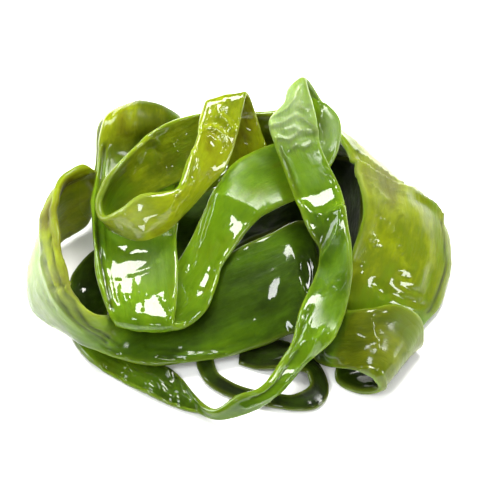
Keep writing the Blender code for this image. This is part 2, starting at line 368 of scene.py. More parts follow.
        Crease(((4.06, 0.77), (3.22, 0.83), (2.47, 0.83), (1.69, 0.9), (1.13, 0.63),
                (0.48, -0.15)), -0.9, 1.2, dark=0.9),
        Crease(((4.6, 0.8), (5.8, 0.85), (7.5, 0.86)), -0.8, 1.2, dark=0.75),
        Crease(((0.8, 0.5), (2.0, 0.58), (4.0, 0.56), (5.8, 0.52), (7.5, 0.5)), 2.4, 5.5),
        Crease(((2.47, 0.56), (2.26, 0.89)), -0.9, 1.3, dark=0.6),
        Crease(((2.4, 0.1), (2.12, 0.18)), -0.8, 1.3, dark=0.6),
        Crease(((0.99, 0.5), (0.62, -0.07), (-0.03, -0.51)), -0.8, 1.3, dark=0.4),
        Crease(((1.13, 0.18), (0.7, -0.42), (-0.03, -0.85)), -0.8, 1.3, dark=0.4),
    ), patches=(
        Patch((3.03, 0.94), (14, 8), ripe=0.25, dry=0.9, dark=0.1),
        Patch((2.19, 0.93), (14, 9), ripe=0.25, dry=0.9, dark=0.1),
        Patch((1.55, 0.9), (16, 10), ripe=0.22, dry=0.9, dark=0.1),
        Patch((0.84, 0.46), (16, 10), ripe=0.2, dry=0.8, dark=0.1),
        Patch((3.35, 0.0), (30, 12), dry=0.7, pale=0.4),
        Patch((8.0, 0.0), (24, 30), ripe=-0.06, dry=1.0),
        Patch((3.6, 0.82), (70, 6), ripe=0.2, dry=1.0, dark=0.1),
        Patch((5.14, 0.73), (14, 14), ripe=0.05, dry=0.9),
        Patch((4.86, 0.95), (16, 10), ripe=0.1, dry=0.8, dark=0.25),
        Patch((0.34, -0.23), (14, 9), ripe=0.2, dry=0.6, dark=0.1),
    )),
    Stretch("rear top", (
        (-59, 45, 31, -28, 44, 34, 0),
        (-56.5, 41.5, 39, -25.5, 40.5, 38.5, -6),
        (-57, 36, 41, -25.5, 35.5, 40, -6.5),
        (-58, 32, 37.5, -26, 32.5, 37.5, -4),
        (-58.5, 26, 33.5, -27, 27, 33.5, -1),
        (-59.6, 15, 31.5, -27, 14, 31, 1),
        (-61, 2, 31.5, -27, 2, 30, 2),
        (-59.5, -24.4, 33.5, -26.5, -21.4, 32.5, 3),
        (-57, -40.2, 29.5, -26.5, -40.2, 28.8, 2.5),
        (-54.5, -47.5, 26, -27, -48.5, 26, 0),
        (-51.5, -53, 22, -27, -54.5, 22.5, -2),
    ), front=(Tone.OLIVE, Tone.LEAF),
       back=(Tone.AMBER, Tone.OLIVE, Tone.LEAF, Tone.LEAF, Tone.LEAF, Tone.FRESH),
       crumple=0.3, creases=(
        Crease(((3.6, -0.94), (5.0, -0.95), (7.0, -0.95), (9.0, -0.95)), -0.7, 1.2),
        Crease(((3.6, -0.86), (5.0, -0.87), (7.0, -0.87), (9.2, -0.85)), 1.3, 1.5, dark=0.8),
        Crease(((3.6, -0.77), (5.0, -0.78), (7.0, -0.78), (9.2, -0.75)), -0.7, 1.4),
        Crease(((7.7, -0.2), (7.58, 0.2), (7.42, 0.56)), -0.4, 1.5),
        Crease(((1.81, -0.63), (1.63, -0.38), (1.81, -0.1)), -0.5, 2.0),
        Crease(((-0.08, -0.2), (1.99, -0.1), (2.21, 0.29)), -0.5, 2.0),
        Crease(((8.53, -0.63), (8.99, -0.47)), 0.5, 1.1),
        Crease(((8.3, -0.38), (9.13, -0.29)), 0.5, 1.1),
        Crease(((8.3, -0.2), (9.27, 0.0)), 0.5, 1.1),
        Crease(((8.42, 0.0), (9.27, 0.19)), 0.5, 1.1),
        Crease(((8.53, 0.2), (9.27, 0.37)), 0.5, 1.1),
        Crease(((8.65, 0.47), (9.41, 0.68)), 0.5, 1.1),
        Crease(((2.21, -0.71), (1.63, -0.63), (1.81, -0.38)), -0.6, 1.2, dark=0.3),
        Crease(((1.81, -0.29), (1.99, -0.2), (2.42, -0.2)), -0.6, 1.2, dark=0.3),
        Crease(((2.85, -0.56), (2.63, -0.29), (2.85, -0.1)), -0.5, 1.2, dark=0.3),
        Crease(((1.81, -0.83), (1.63, -0.7), (1.45, -0.47)), 0.7, 1.3),
        Crease(((1.99, -0.1), (1.81, 0.2), (1.63, 0.38)), 0.6, 1.2),
        Crease(((3.47, -0.39), (3.32, -0.2)), 0.5, 1.2),
        Crease(((7.81, -0.9), (8.65, -0.88)), 0.6, 1.1),
        Crease(((7.86, -0.72), (8.76, -0.63)), 0.6, 1.1),
        Crease(((7.86, -0.57), (8.88, -0.55)), 0.6, 1.1),
        Crease(((7.86, -0.39), (8.76, -0.29)), 0.6, 1.1),
        Crease(((7.75, -0.2), (8.76, -0.19)), 0.6, 1.1),
    ), patches=(
        Patch((0.28, -0.1), (14, 14), ripe=-0.06),
        Patch((1.99, 0.38), (5, 7), ripe=0.3),
        Patch((1.63, 0.47), (12, 10), ripe=-0.3, dry=0.8, dark=0.5),
        Patch((4.35, -0.76), (9, 10), ripe=-0.1, dry=0.6, dark=0.3),
        Patch((7.58, 0.3), (9, 8), dry=0.1, pale=0.1),
        Patch((2.42, -0.39), (5, 6), ripe=0.15),
        Patch((0.41, 0.2), (4, 8), ripe=0.15),
        Patch((1.81, 0.47), (18, 16), ripe=-0.1, dry=1.0, dark=0.6),
    )),
    Stretch("middle strap", (
        (-49, -48, 18, -22, -52, 18.5, 0),
        (-41, -42, 19, -14.5, -47, 22, 0),
        (-34, -33, 22, -11, -38, 25.5, 0),
        (-25, -20, 25, -9, -31, 28, 0),
        (-18, -7, 30, -4, -22, 31, 1),
        (-12, 3.7, 37.5, 4, -10.9, 32.8, 1),
        (-4, 14.6, 40.5, 13, -4.5, 35.5, 1),
        (7, 20, 44, 22, 0.5, 36.5, 0),
        (17, 22, 47, 31, 8, 40, 0),
        (22, 25, 52, 37, 18, 45, 0),
        (24, 30.5, 55, 38, 27.5, 50, 0),
    ), front=(Tone.FRESH, Tone.FRESH), back=(Tone.LEAF,), crumple=0.3, creases=(
        Crease(((4.85, -0.85), (5.07, -0.27), (5.23, 0.36), (5.31, 0.82)), 1.1, 6.0),
        Crease(((5.31, -0.87), (4.49, -0.76), (3.69, -0.51), (2.5, -0.18)), -0.5, 1.6),
        Crease(((3.84, 0.43), (2.92, 0.57), (1.64, 0.68)), -0.9, 3.5),
        Crease(((4.49, 0.35), (3.92, 0.43)), 0.5, 1.5),
        Crease(((10.38, 0.0), (9.59, -0.18), (9.01, 0.18)), -1.5, 4.0),
    ), patches=(
        Patch((9.47, 0.42), (10, 4), dry=0.7, pale=0.15),
        Patch((6.37, -0.1), (17, 13), dry=1.0),
        Patch((9.59, -0.18), (6, 4), dark=0.5),
    )),
    Stretch("front strap", (
        (21, 36, 59.5, 32, 35.5, 52.5, -0.5),
        (17.5, 28.5, 62.5, 24.5, 36.5, 66.5, -2),
        (9.5, 19, 60.5, 28, 23.5, 59.5, -2),
        (11.5, 11, 56.2, 29.5, 13, 54, -1),
        (15.5, 2.5, 50, 33.5, 5.5, 48, -1),
        (20, -8.5, 45, 37.5, -2.5, 43, -1),
        (25, -22.2, 41, 40, -16.2, 44, 0),
        (30, -29, 35, 41.5, -30, 43, 0),
        (27, -38, 30, 41.5, -42, 38, 0),
        (22, -50.4, 29.5, 40.5, -46.9, 28.5, -1),
        (18.5, -63.5, 23.5, 34, -65.3, 24.2, -1),
        (14, -72, 19, 24, -67, 14, -1),
        (7, -81, 16.5, 16, -75, 10, -1),
        (-3.5, -84, 12.5, 4.5, -83.5, 5, 0),
    ), front=(Tone.LEAF,),
       back=(Tone.FRESH, Tone.LEAF, Tone.LEAF, Tone.FRESH),
       crumple=0.6, creases=(
        Crease(((2.3, -0.96), (2.3, -0.54), (2.01, 0.09), (2.3, 0.54), (2.58, 0.95)),
                -1.3, 1.6, dark=0.8),
        Crease(((1.87, -0.93), (1.72, -0.34), (1.51, 0.0)), -1.0, 1.5, dark=0.7),
        Crease(((2.86, -0.86), (2.96, -0.36), (2.67, 0.18), (2.67, 0.94)), -1.2, 1.5, dark=0.8),
        Crease(((3.33, -0.52), (3.14, -0.09), (3.23, 0.18), (3.05, 0.58)), -0.9, 1.4, dark=0.7),
        Crease(((3.23, -0.82), (4.23, -0.87), (4.92, -0.87)), 0.8, 1.8, dark=0.6),
        Crease(((5.28, -0.87), (5.56, -0.66), (5.83, -0.09), (5.9, 0.44), (5.83, 0.86)),
                -1.3, 3.5, dark=0.3),
        Crease(((5.97, 0.71), (6.54, 0.31), (7.21, -0.49)), -2.4, 6.0),
        Crease(((5.97, -0.18), (5.83, 0.27)), -0.6, 1.6),
        Crease(((9.55, -0.61), (10.01, 0.09)), -0.7, 3.0),
        Crease(((9.8, 0.35), (10.6, 0.15), (11.4, 0.0), (12.3, -0.1), (13.0, -0.1)), -1.7, 3.0),
        Crease(((10.4, -0.45), (11.4, -0.55), (12.6, -0.6)), 0.7, 1.2, dark=0.6),
        Crease(((3.23, -0.78), (4.15, -0.73), (4.92, -0.83)), -0.6, 1.3),
        Crease(((2.58, -0.53), (2.49, 0.0), (2.58, 0.28)), -0.9, 1.4, dark=0.7),
        Crease(((1.72, 0.09), (1.87, 0.44), (1.79, 0.85)), -0.8, 1.4, dark=0.6),
        Crease(((2.01, -0.36), (1.87, 0.09), (2.11, 0.6)), 0.7, 1.4),
        Crease(((9.2, -0.6), (10.2, -0.7), (11.4, -0.75)), 0.9, 1.6),
    ), patches=(
        Patch((1.87, -0.27), (14, 12), dry=0.6, pale=0.34),
        Patch((2.67, 0.0), (9, 12), dry=0.6, pale=0.12),
        Patch((6.46, -0.71), (9, 6), dark=0.6),
        Patch((9.2, 0.46), (11, 7), dry=1.0),
        Patch((7.54, 0.0), (12, 12), dry=1.0),
        Patch((4.06, -0.18), (9, 9), dry=0.8),
    )),
    Stretch("low strap", (
        (-12, -85.5, 7, -9.5, -84.8, 2, 0),
        (-19, -74.5, 3, -20, -82, 1.3, 0),
        (-27, -62, 1.3, -31, -77, 1.3, 0),
        (-42, -53, 1.3, -49, -65, 1.3, 0),
        (-53, -44, 1.3, -62, -54, 1.3, 0),
        (-55, -34, 1.3, -69, -40, 1.3, 0),
        (-53, -24, 1.3, -70, -26, 1.3, 0),
        (-52, -15, 1.3, -68.5, -8, 1.3, 0),
        (-49, -10, 1.3, -57, 6, 1.3, 0),
    ), front=(Tone.DARK,), back=(Tone.DARK, Tone.LEAF, Tone.DARK), crumple=0.5, creases=(
        Crease(((3.43, 0.25), (2.53, 0.0), (1.21, 0.08)), -1.0, 1.8, dark=0.5),
        Crease(((3.5, 0.78), (2.68, 0.74), (1.95, 0.82), (0.9, 0.54)), 1.6, 2.2),
        Crease(((3.11, -0.09), (2.88, 0.25)), -0.9, 2.2),
        Crease(((2.32, 0.0), (2.17, 0.36)), -0.9, 2.2),
        Crease(((1.36, -0.7), (0.98, -0.32)), -0.9, 2.2),
        Crease(((2.88, -0.73), (2.68, -0.44)), -1.2, 1.5, dark=0.5),
        Crease(((2.22, -0.82), (2.07, -0.45)), -1.2, 1.5, dark=0.5),
        Crease(((1.73, -0.65), (1.5, -0.26)), -1.2, 1.5, dark=0.5),
        Crease(((2.99, 0.88), (2.99, 0.25)), -0.8, 1.2, dark=0.3),
        Crease(((2.42, 0.96), (2.48, 0.36)), -0.8, 1.2, dark=0.3),
        Crease(((1.65, 0.93), (1.73, 0.34)), -0.8, 1.2, dark=0.3),
        Crease(((0.8, -0.85), (2.0, -0.85), (3.0, -0.85), (4.2, -0.85)), -0.7, 4.0, dark=0.75),
    ), patches=(
        Patch((2.37, 0.28), (34, 14), ripe=0.1, dry=0.2, dark=0.35),
        Patch((3.18, 0.78), (16, 8), ripe=0.15),
    )),
    Stretch("thin tip", (
        (-45, -11, 1.3, -44, 0, 1.3, 0),
        (-39, -17, 1.2, -32, -11, 1.2, 0),
        (-31, -27, 1.2, -23, -24, 1.2, 0),
        (-26, -38.5, 1.2, -17.5, -35.5, 1.2, 0),
        (-20, -50, 1.2, -13, -49, 1.2, 0),
        (-18.5, -59, 1.1, -11.5, -57.5, 1.1, 0),
        (-15.5, -66, 1.1, -10, -62.5, 2.4, 0),
        (-9, -72, 1.1, -5.5, -67, 2.8, 0),
        (1, -76.5, 1.1, 2, -71, 3, 0),
        (12, -79.5, 1.1, 12.5, -73.5, 3.4, 0),
        (20.5, -81, 1.1, 18, -75, 4, 0),
        (27.5, -80, 1.1, 22, -74, 4.7, 0),
        (32.5, -73.5, 1.2, 25.5, -70.5, 5.0, 0),
        (32.5, -66, 1.8, 25, -66.5, 5.5, 0),
        (29, -57, 2, 24, -64, 5.3, 0),
        (22.5, -49.5, 2.2, 19.5, -62.5, 4.5, 0),
        (13, -45, 2, 11, -61, 3, 0),
        (5.5, -45, 1.2, 4.5, -59.5, 1.2, 0),
        (-2, -48.5, 1.1, -2.5, -56.5, 1.1, 0),
    ), front=(Tone.DARK,), back=(Tone.DARK, Tone.DEEP_SHADE), crumple=0.2, patches=(
        Patch((11.42, 0.76), (7, 5), dry=0.9),
    )),
)

# From the route's own origin to the middle of the heap's foot, in millimetres.
SHIFT = np.array([-2.4126, -19.9252, 0.0])


@dataclass(frozen=True)
class LatticeNoise:
    """Smooth noise over the strap's own length and width.

    Attributes:
        seed: Seed of the random lattice.
        along: Size of a lattice cell along the strap, in millimetres.
        across: Size of a lattice cell across the strap, in millimetres.
    """

    seed: int
    along: float
    across: float

    def sample(self, length: np.ndarray, width: np.ndarray) -> np.ndarray:
        """Read the noise.

        Args:
            length: Distance along the strap, in millimetres.
            width: Distance across the strap, in millimetres.

        Returns:
            Values between -1 and 1, shaped like the inputs.
        """
        side = 512
        lattice = np.random.default_rng(self.seed).uniform(-1.0, 1.0, (side, side))
        x = length / self.along
        y = width / self.across + side / 2
        column, row = np.floor(x).astype(int), np.floor(y).astype(int)
        fx, fy = x - column, y - row
        fx = fx * fx * fx * (fx * (fx * 6 - 15) + 10)
        fy = fy * fy * fy * (fy * (fy * 6 - 15) + 10)
        corner = [lattice[(column + dx) % side, (row + dy) % side]
                  for dx, dy in ((0, 0), (1, 0), (0, 1), (1, 1))]
        low = corner[0] + (corner[1] - corner[0]) * fx
        high = corner[2] + (corner[3] - corner[2]) * fx
        return low + (high - low) * fy


@dataclass(frozen=True)
class CookedKelpSkin:
    """Boiled kelp skin under a film of water, as it grew, not peeled or pressed.

    The eye sees a smooth leathery green with darker long fibres and soft blotches, light that soaks
    in and glows through, and the hard white glints of the water. The paler, yellower thin rim is a
    painted glow of light through the edge, the pale streaks are painted glare, and the darkening is
    painted shade.

    Attributes:
        ramp: Colour of the skin by ripeness.
        rim_glow_colour: Colour that the thin rim leans to, a painted glow of light shining through
            it.
        glare_colour: Pale colour mixed in as painted glare, a painted reflection of the bright
            surroundings.
        blotch_mm: Size of the soft darker blotches.
        fibre_mm: Spacing of the long fibres under the skin.
        pore_mm: Size of the finest grain, drawn coarser than real so that it shows.
        ripple_mm: Length and width of the ripples in the water film.
        ripple_depth_mm: How deep the ripples are.
        fibre_depth_mm: How far the fibres stand out.
        pore_depth_mm: How deep the grain is.
    """

    ramp: tuple[tuple[float, str], ...] = (
        # The first stop is the darkest tone, painted shade.
        (0.0, "#121B04"),
        (0.15, "#273B05"),
        (0.35, "#405B07"),
        (0.5, "#53700A"),
        (0.7, "#566308"),
        (0.85, "#77820C"),
        (1.0, "#565403"),
    )
    rim_glow_colour: str = "#7F901F"
    glare_colour: str = "#B9C99A"
    blotch_mm: float = 9.0
    fibre_mm: float = 1.6
    pore_mm: float = 0.7
    ripple_mm: tuple[float, float] = (5.0, 3.0)
    ripple_depth_mm: float = 0.6
    fibre_depth_mm: float = 0.45
    pore_depth_mm: float = 0.06

    def make(self) -> bpy.types.Material:
        """Build the material.

        Returns:
            The material, which reads the strap's own attributes.
        """
        material = bpy.data.materials.new("wet_wakame_skin")
        material.use_nodes = True
        tree = material.node_tree
        tree.nodes.clear()
        place = self.strap_space(tree)
        colour = self.colour(tree, place)
        relief = self.relief(tree, place)
        gloss = self.gloss(tree, place)
        # Under water the flesh hardly mirrors by itself, so nearly all the glints come
        # from the coat, which is the film. Light soaks about 2.5 mm in, green the furthest.
        skin = add_node(tree, "ShaderNodeBsdfPrincipled", {"subsurface_method": "RANDOM_WALK"}, {
            "Base Color": colour, "Roughness": gloss, "Normal": relief,
            "IOR": 1.40, "Specular IOR Level": 0.04,
            "Subsurface Weight": 0.7, "Subsurface Scale": 0.0025,
            "Subsurface Radius": (0.75, 1.0, 0.15), "Subsurface Anisotropy": 0.3,
            "Coat Weight": self.dryness(tree, 1.0, 0.0),
            "Coat Roughness": self.dryness(tree, 0.03, 0.35), "Coat IOR": 1.42,
        })
        add_node(tree, "ShaderNodeOutputMaterial", None, {"Surface": skin.outputs["BSDF"]})
        return material

    @staticmethod
    def attribute(tree: bpy.types.NodeTree, name: str) -> bpy.types.NodeSocket:
        """Read one of the values that the stem's mesh holds.

        Args:
            tree: The material's node tree.
            name: The attribute's name.

        Returns:
            The value's socket.
        """
        return add_node(tree, "ShaderNodeAttribute", {"attribute_name": name}).outputs["Fac"]

    def strap_space(self, tree: bpy.types.NodeTree) -> bpy.types.NodeSocket:
        """Make a texture space in millimetres: along the strap, across it, and its face.

        Args:
            tree: The material's node tree.

        Returns:
            The vector socket.
        """
        return add_node(tree, "ShaderNodeCombineXYZ", None, {
            "X": self.attribute(tree, "along_mm"), "Y": self.attribute(tree, "across_mm"),
            "Z": self.attribute(tree, "face_mm"),
        }).outputs["Vector"]

    def noise(self, tree: bpy.types.NodeTree, place: bpy.types.NodeSocket,
              size: tuple[float, float, float], detail: float,
              roughness: float = 0.5) -> bpy.types.NodeSocket:
        """Add noise whose features have a size in millimetres along, across and through.

        Args:
            tree: The material's node tree.
            place: The strap's own texture space.
            size: Feature size along the strap, across it and between its faces.
            detail: Octaves of the noise.
            roughness: How much the finer octaves count.

        Returns:
            The noise value's socket, from 0 to 1.
        """
        scaled = add_node(tree, "ShaderNodeMapping", None, {
            "Vector": place, "Scale": tuple(1 / length for length in size),
        })
        return add_node(tree, "ShaderNodeTexNoise", None, {
            "Vector": scaled.outputs["Vector"], "Scale": 1.0,
            "Detail": detail, "Roughness": roughness,
        }).outputs["Fac"]

    def ranged(self, tree: bpy.types.NodeTree, value: bpy.types.NodeSocket,
               spans: tuple[float, float, float, float]) -> bpy.types.NodeSocket:
        """Map a value from one range to another, and hold it there.

        Args:
            tree: The material's node tree.
            value: The value's socket.
            spans: From low, from high, to low and to high.

        Returns:
            The mapped value's socket.
        """
        return add_node(tree, "ShaderNodeMapRange", None, {
            "Value": value, "From Min": spans[0], "From Max": spans[1],
            "To Min": spans[2], "To Max": spans[3],
        }).outputs["Result"]

    def colour(self, tree: bpy.types.NodeTree, place: bpy.types.NodeSocket) -> bpy.types.NodeSocket:
        """Colour the skin by its ripeness, blotches and fibres, with painted shade, a painted glow
        along the rim and pale streaks of painted glare.

        Args:
            tree: The material's node tree.
            place: The strap's own texture space.

        Returns:
            The colour's socket.
        """
        blotch = self.noise(tree, place, (self.blotch_mm * 1.6, self.blotch_mm, 4.0), 4.0, 0.6)
        drift = self.ranged(tree, blotch, (0.3, 0.7, -0.10, 0.10))
        mixed = add_node(tree, "ShaderNodeMath", {"operation": "ADD", "use_clamp": True}, {
            0: self.attribute(tree, "ripeness"), 1: drift,
        })
        ramp = add_node(tree, "ShaderNodeValToRGB", None, {"Fac": mixed.outputs["Value"]})
        set_ramp(ramp.color_ramp, self.ramp)

        fibre = self.noise(tree, place, (45.0, self.fibre_mm, 4.0), 3.0)
        streak = self.ranged(tree, fibre, (0.35, 0.65, 0.96, 1.02))
        # Painted shade: the dark value cuts the colour to as little as 15 percent where creases,
        # gaps and the hidden inside would lie in shade.
        kept = self.ranged(tree, self.attribute(tree, "dark"), (0.0, 1.0, 1.0, 0.15))
        shade = add_node(tree, "ShaderNodeMath", {"operation": "MULTIPLY"}, {0: streak, 1: kept})
        times = {"data_type": "RGBA", "blend_type": "MULTIPLY"}
        streaked_and_shaded = add_node(tree, "ShaderNodeMix", times, {
            0: 1.0, 6: ramp.outputs["Color"], 7: shade.outputs["Value"],
        })

        # Painted glow: a paler, yellower tint along the thin rim stands in for light shining
        # through the edge.
        paler = self.ranged(tree, self.attribute(tree, "rim"), (0.0, 1.0, 0.0, 0.25))
        edged = add_node(tree, "ShaderNodeMix", {"data_type": "RGBA", "blend_type": "MIX"}, {
            0: paler, 6: streaked_and_shaded.outputs[2], 7: linear(self.rim_glow_colour),
        })

        # Painted glare: pale streaks mixed in where the pale value is set, a painted reflection of
        # the bright surroundings.
        wisps = self.noise(tree, place, (20.0, self.fibre_mm * 1.5, 4.0), 3.0)
        glare_streaks = self.ranged(tree, wisps, (0.3, 0.7, 0.6, 1.0))
        glare_mask = add_node(tree, "ShaderNodeMath", {"operation": "MULTIPLY"}, {
            0: self.attribute(tree, "pale"), 1: glare_streaks,
        })
        glared = add_node(tree, "ShaderNodeMix", {"data_type": "RGBA", "blend_type": "MIX"}, {
            0: glare_mask.outputs["Value"], 6: edged.outputs[2], 7: linear(self.glare_colour),
        })
        return glared.outputs[2]

    def relief(self, tree: bpy.types.NodeTree, place: bpy.types.NodeSocket) -> bpy.types.NodeSocket:
        """Raise the ripples of the water film, the fibres and the fine grain.

        Args:
            tree: The material's node tree.
            place: The strap's own texture space.

        Returns:
            The normal's socket.
        """
        fibre = self.noise(tree, place, (9.0, self.fibre_mm, 4.0), 3.0)
        grain = self.noise(tree, place, (self.pore_mm * 1.5, self.pore_mm, 4.0), 2.0)
        film = self.noise(tree, place, (*self.ripple_mm, 4.0), 6.0, 0.58)
        first = add_node(tree, "ShaderNodeBump", None, {
            "Height": film, "Strength": 0.6, "Distance": self.ripple_depth_mm * MM,
        })
        second = add_node(tree, "ShaderNodeBump", None, {
            "Height": fibre, "Strength": 0.8, "Distance": self.fibre_depth_mm * MM,
            "Normal": first.outputs["Normal"],
        })
        third = add_node(tree, "ShaderNodeBump", None, {
            "Height": grain, "Strength": 0.4, "Distance": self.pore_depth_mm * MM,
            "Normal": second.outputs["Normal"],
        })
        return third.outputs["Normal"]

    def dryness(self, tree: bpy.types.NodeTree, wet: float, drained: float) -> bpy.types.NodeSocket:
        """Change one property of the water film where it has drained off.

        Args:
            tree: The material's node tree.
            wet: The value under a full film.
            drained: The value where the film has drained off.

        Returns:
            The value's socket.
        """
        return self.ranged(tree, self.attribute(tree, "dry"), (0.0, 1.0, wet, drained))

    def gloss(self, tree: bpy.types.NodeTree, place: bpy.types.NodeSocket) -> bpy.types.NodeSocket:
        """Vary the roughness of the skin under the water.

        Args:
            tree: The material's node tree.
            place: The strap's own texture space.

        Returns:
            The roughness socket.
        """
        patches = self.noise(tree, place, (12.0, 8.0, 4.0), 3.0)
        return self.ranged(tree, patches, (0.3, 0.7, 0.35, 0.55))


@dataclass
class WakameStem:
    """The whole stem, swept in fine rings along its route.

    Attributes:
        stretches: The stretches of the route, from the hidden cut end to the thin tip.
        thickness_wide: Thickness of the fleshy strap, in millimetres.
        thickness_tip: Thickness at the thin tip, in millimetres.
        tip_length: Length over which the strap thins to its tip, in millimetres.
        spacing: Distance between rings, in millimetres.
        face_points: Points across each face.
        rim_points: Points round each rim, between the faces.
        swell: Height of the broad swells, in millimetres.
        pucker: Height of the puckers, in millimetres.
        rib: Height of the long soft ribs, in millimetres.
        grain: Height of the finest bumps, in millimetres.
        scallop: Share of the width by which the rims wave in and out.
        plump: Share of the thickness by which the flesh swells and thins.
    """

    stretches: tuple[Stretch, ...]
    thickness_wide: float = 2.8
    thickness_tip: float = 2.0
    tip_length: float = 260.0
    spacing: float = 1.0
    face_points: int = 25
    rim_points: int = 5
    swell: float = 0.45
    pucker: float = 0.22
    rib: float = 0.12
    grain: float = 0.05
    scallop: float = 0.035
    plump: float = 0.12

    def route(self) -> np.ndarray:
        """Join the stretches' stations into one table, a row for each station."""
        return np.vstack([np.array(stretch.stations, dtype=float) for stretch in self.stretches])

    @staticmethod
    def knots(stations: np.ndarray) -> np.ndarray:
        """Measure how far along the stem each station is.

        Args:
            stations: One row for each station.

        Returns:
            The distances, in millimetres.
        """
        left = np.linalg.norm(np.diff(stations[:, 0:3], axis=0), axis=1)
        right = np.linalg.norm(np.diff(stations[:, 3:6], axis=0), axis=1)
        return np.concatenate([[0.0], np.cumsum((left + right) / 2)])

    @staticmethod
    def smooth(knots: np.ndarray, values: np.ndarray, where: np.ndarray) -> np.ndarray:
        """Read a smooth curve through the stations.

        Args:
            knots: How far along each station is.
            values: One row of numbers for each station.
            where: How far along each wanted row is.

        Returns:
            One row of numbers for each place in where.
        """
        steps = np.diff(knots)[:, None]
        slopes = np.diff(values, axis=0) / steps
        inner = (slopes[:-1] * steps[1:] + slopes[1:] * steps[:-1]) / (steps[:-1] + steps[1:])
        tangents = np.vstack([slopes[:1], inner, slopes[-1:]])
        index = np.clip(np.searchsorted(knots, where, side="right") - 1, 0, len(knots) - 2)
        width = (knots[index + 1] - knots[index])[:, None]
        u = (where - knots[index])[:, None] / width
        start = (2 * u**3 - 3 * u**2 + 1) * values[index]
        start += (u**3 - 2 * u**2 + u) * width * tangents[index]
        end = (3 * u**2 - 2 * u**3) * values[index + 1]
        end += (u**3 - u**2) * width * tangents[index + 1]
        return start + end

    def section(self) -> np.ndarray:
        """Lay out the section's points once round the strap.

        Returns:
            For each point: its place on the flat face from -1 to 1, how far it
            goes out round the rim, and how far up or down through the thickness.
        """
        even = np.linspace(-1.0, 1.0, self.face_points)
        flat = (even + np.sin(even * math.pi / 2)) / 2
        turn = np.linspace(math.pi / 2, -math.pi / 2, self.rim_points + 2)[1:-1]
        upper = [(share, 0.0, 1.0) for share in flat]
        right = [(1.0, math.cos(angle), math.sin(angle)) for angle in turn]
        lower = [(share, 0.0, -1.0) for share in flat[::-1]]
        left = [(-1.0, -math.cos(angle), -math.sin(angle)) for angle in turn]
        return np.array(upper + right + lower + left)

    def traits(self, where: np.ndarray, knots: np.ndarray) -> dict[str, np.ndarray]:
        """Spread the stretches' tones and creasing evenly along the stem.

        Args:
            where: How far along each ring is.
            knots: How far along each station is.

        Returns:
            Front tone, back tone and crumple for each ring.
        """
        places: dict[str, list[float]] = {"front": [], "back": [], "crumple": []}
        values: dict[str, list[float]] = {"front": [], "back": [], "crumple": []}
        first = 0
        for stretch in self.stretches:
            last = first + len(stretch.stations) - 1
            for key, tones in (("front", stretch.front), ("back", stretch.back)):
                evenly = np.linspace(knots[first], knots[last], len(tones) + 2)[1:-1]
                for place, tone in zip(evenly, tones):
                    places[key].append(float(place))
                    values[key].append(tone.value)
            places["crumple"].append(float((knots[first] + knots[last]) / 2))
            values["crumple"].append(stretch.crumple)
            first = last + 1
        return {key: np.interp(where, places[key], values[key]) for key in places}

    def relief(self, length: np.ndarray, width: np.ndarray, share: np.ndarray,
               crumple: np.ndarray) -> np.ndarray:
        """Work out how far the flesh swells or sinks from the smooth strap.

        Args:
            length: Distance along the strap, in millimetres.
            width: Distance across the strap, in millimetres.
            share: Place across the strap, from -1 to 1.
            crumple: How much the skin creases here.

        Returns:
            Offsets along the strap's normal, in millimetres.
        """
        swell = self.swell * LatticeNoise(11, 24.0, 13.0).sample(length, width)
        pucker = self.pucker * LatticeNoise(12, 8.0, 6.5).sample(length, width)
        ribs = self.rib * LatticeNoise(13, 40.0, 2.6).sample(length, width)
        fine = self.grain * LatticeNoise(14, 3.0, 2.4).sample(length, width)
        # Folds run a little aslant across the strap, and sink where the noise is near 0.
        crease = np.abs(LatticeNoise(15, 4.2, 15.0).sample(length + 0.25 * width, width))
        folds = crumple * (0.25 - 1.5 * np.clip(0.3 - crease, 0.0, 0.3))
        # Only the rims flutter, each with its own row of the noise.
        wave = LatticeNoise(16, 11.0, 9.0).sample(length, np.sign(share) * 20)
        flutter = (0.35 + 0.7 * crumple) * np.abs(share) ** 3 * wave
        return swell + pucker + ribs + fine + folds + flutter

    def details(self, knots: np.ndarray, half: np.ndarray, length: np.ndarray,
                width: np.ndarray) -> tuple[np.ndarray, ...]:
        """Work out what the stretches' own creases and patches do at each point.

        Args:
            knots: How far along each station is.
            half: Half the strap's width at each station, in millimetres.
            length: Distance along the strap, in millimetres.
            width: Distance across the strap, in millimetres.

        Returns:
            Lift in millimetres, shift of the ripeness, dryness, painted shade and painted glare.
        """
        shape = np.broadcast(length, width).shape
        lift, ripe, dry, dark, pale = (np.zeros(shape) for _ in range(5))
        order = np.arange(len(knots))
        first = 0
        for stretch in self.stretches:
            for crease in stretch.creases:
                turns = np.array([first + turn for turn, _ in crease.line])
                shares = np.array([share for _, share in crease.line])
                xs, ys = np.interp(turns, order, knots), shares * np.interp(turns, order, half)
                far = np.full(shape, np.inf)
                for x0, y0, x1, y1 in zip(xs[:-1], ys[:-1], xs[1:], ys[1:]):
                    run, rise = x1 - x0, y1 - y0
                    along = ((length - x0) * run + (width - y0) * rise) / (run * run + rise * rise)
                    along = np.clip(along, 0, 1)
                    off = np.hypot(length - x0 - along * run, width - y0 - along * rise)
                    far = np.minimum(far, off)
                near = np.clip(1 - far / crease.reach, 0, 1)
                lift += crease.height * near**1.5
                # Painted shade darkens the colour along the crease.
                dark = np.maximum(dark, crease.dark * near)
            for patch in stretch.patches:
                middle = np.interp(first + patch.place[0], order, knots)
                aside = patch.place[1] * np.interp(first + patch.place[0], order, half)
                off = np.hypot((length - middle) / patch.size[0], (width - aside) / patch.size[1])
                bell = np.exp(-off**3)
                ripe += patch.ripe * bell
                dry = np.maximum(dry, patch.dry * bell)
                # Painted shade from the patch.
                dark = np.maximum(dark, patch.dark * bell)
